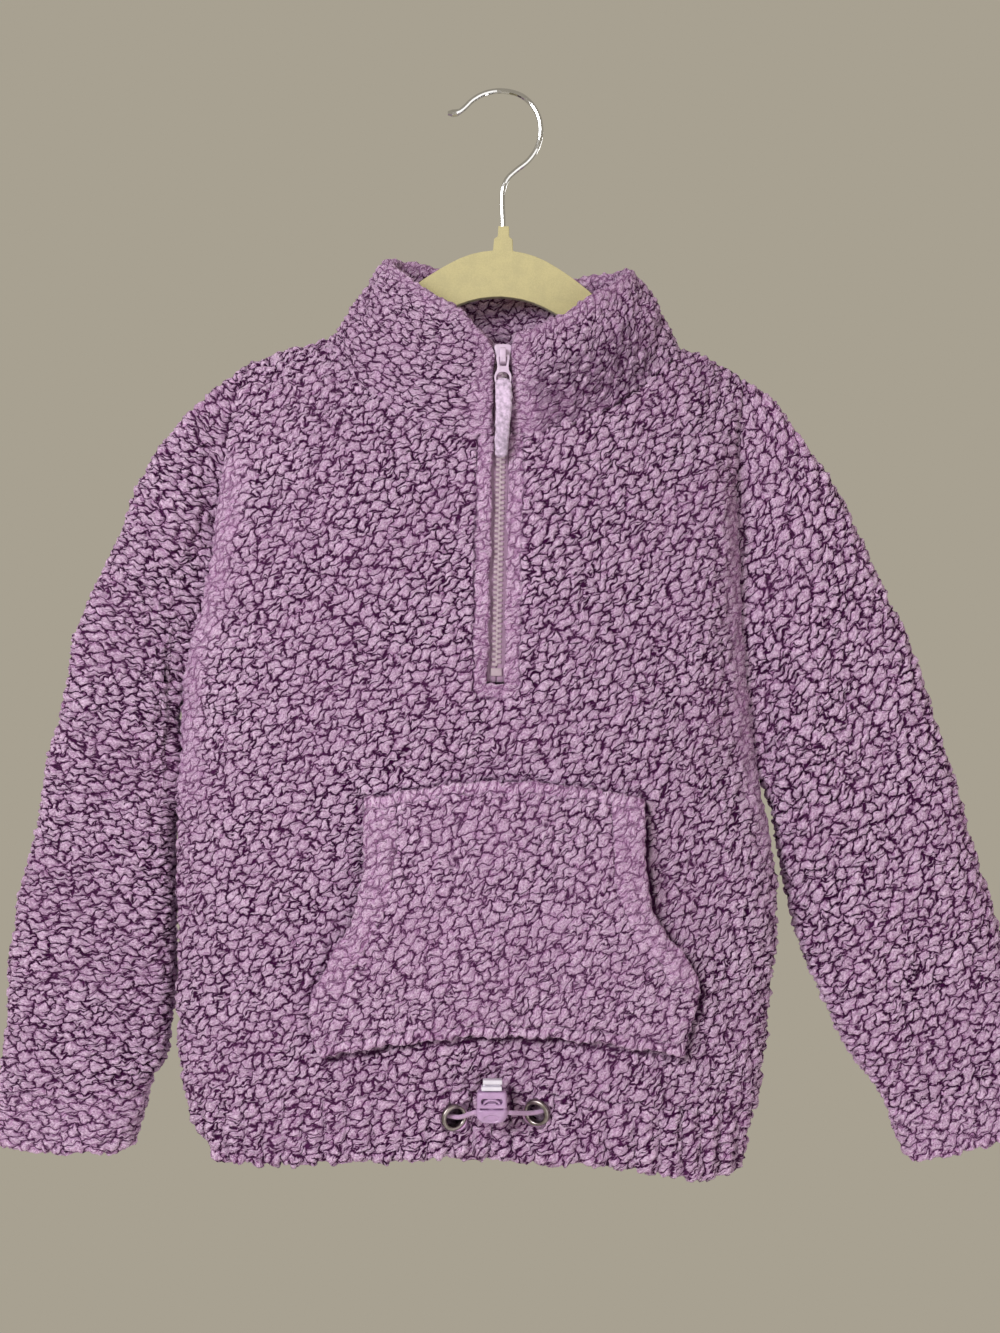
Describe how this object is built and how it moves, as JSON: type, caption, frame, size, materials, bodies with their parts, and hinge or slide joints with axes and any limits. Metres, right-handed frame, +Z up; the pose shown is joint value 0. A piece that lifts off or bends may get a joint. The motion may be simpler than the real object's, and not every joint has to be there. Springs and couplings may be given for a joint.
{
  "type": "sherpa fleece pullover on hanger",
  "caption": "Child's quarter-zip pullover of curly sherpa fleece with a stand collar, a front pouch pocket and a toggle drawcord at the hem, hung on a flocked hanger.",
  "frame": {"origin": "under the crown of the hanger's hook, where it bears on the rod, peg or hook that holds it", "axes": "+Z up along the garment; the front, with the zip, faces -Y; +X to the right of someone who looks at the front"},
  "size_m": [0.5839, 0.0849, 0.6017],
  "materials": {
    "fleece": "lavender sherpa pile, rough",
    "zip_tape": "woven tape",
    "zip_plastic": "pale mauve moulded plastic",
    "strap_fleece": "brushed pale fleece",
    "eyelet_metal": "worn nickel",
    "cord": "braided elastic cord",
    "toggle_plastic": "satin lavender",
    "button_plastic": "satin pale grey-lilac",
    "flocked_plastic": "cream velvet flock on a moulding",
    "chrome": "polished"
  },
  "bodies": {
    "pullover": {"front": "fleece", "back": "fleece", "sleeve_left": "fleece", "sleeve_right": "fleece", "collar": "fleece", "pocket": "fleece", "zip_tape_left": "zip_tape", "zip_tape_right": "zip_tape", "zip_chain": "zip_plastic", "zip_stop": "zip_plastic", "zip_slider": "zip_plastic", "eyelet_left": "eyelet_metal", "eyelet_right": "eyelet_metal", "hem_cord": "cord", "toggle_body": "toggle_plastic", "hanger": "flocked_plastic", "hanger_hook": "chrome"},
    "zip_pull": {"zip_pull_link": "zip_plastic", "zip_pull_strap": "strap_fleece"},
    "toggle_plunger": {"toggle_button": "button_plastic"}
  },
  "joints": [
    {"name": "zip_pull_swing", "type": "hinge", "parent": "pullover", "child": "zip_pull", "pos_m": [0.00329, -0.04087, -0.1545], "axis": [-1, 0, 0], "range_deg": [0, 150]},
    {"name": "toggle_press", "type": "slide", "parent": "pullover", "child": "toggle_plunger", "axis": [0, 0, -1], "range_m": [0, 0.0025], "stiffness_N_per_m": 300}
  ]
}
